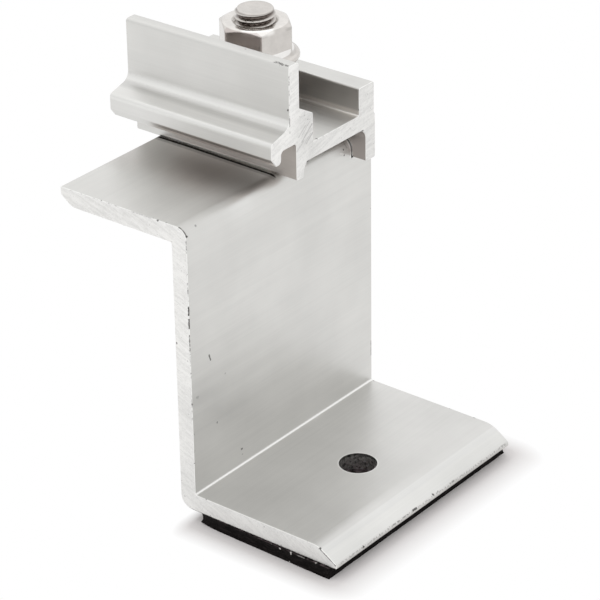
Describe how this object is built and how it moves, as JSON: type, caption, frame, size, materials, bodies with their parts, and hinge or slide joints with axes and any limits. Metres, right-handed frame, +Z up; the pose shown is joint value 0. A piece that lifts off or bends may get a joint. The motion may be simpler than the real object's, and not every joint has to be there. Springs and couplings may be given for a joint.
{
  "type": "metal roof solar bracket",
  "caption": "Z-shaped aluminium roof bracket on a rubber pad, with an extruded clamp profile held on its top flange by a hexagon bolt and a flange nut.",
  "frame": {"origin": "on the axis of the roof screw, on the underside of the rubber pad, where the bracket meets the roof", "axes": "+Z up from the roof along the roof screw, +Y along the extrusion from the front cut to the back cut, +X from the web towards the roof screw's side"},
  "size_m": [0.0702, 0.0572, 0.0888],
  "materials": {
    "mill_aluminium": "satin mill finish with sawn ends",
    "black_rubber": "matt, cut edges",
    "stainless_steel": "bright, lightly polished"
  },
  "bodies": {
    "bracket": {"z_bracket": "mill_aluminium", "rubber_pad": "black_rubber", "clamp_bolt": "stainless_steel"},
    "clamp": {"clamp_profile": "mill_aluminium"},
    "nut": {"flange_nut": "stainless_steel"}
  },
  "joints": [
    {"name": "clamp_lift", "type": "slide", "parent": "bracket", "child": "clamp", "axis": [0, 0, 1], "range_m": [0, 0.005]},
    {"name": "nut_turn", "type": "hinge", "parent": "clamp", "child": "nut", "pos_m": [-0.0336, 0.01245, 0.0787], "axis": [0, 0, 1], "range_deg": [0, 1440]}
  ],
  "couplings": [
    {"joint": "nut_turn", "follows": "clamp_lift", "rad_per_m": 5026.5}
  ]
}
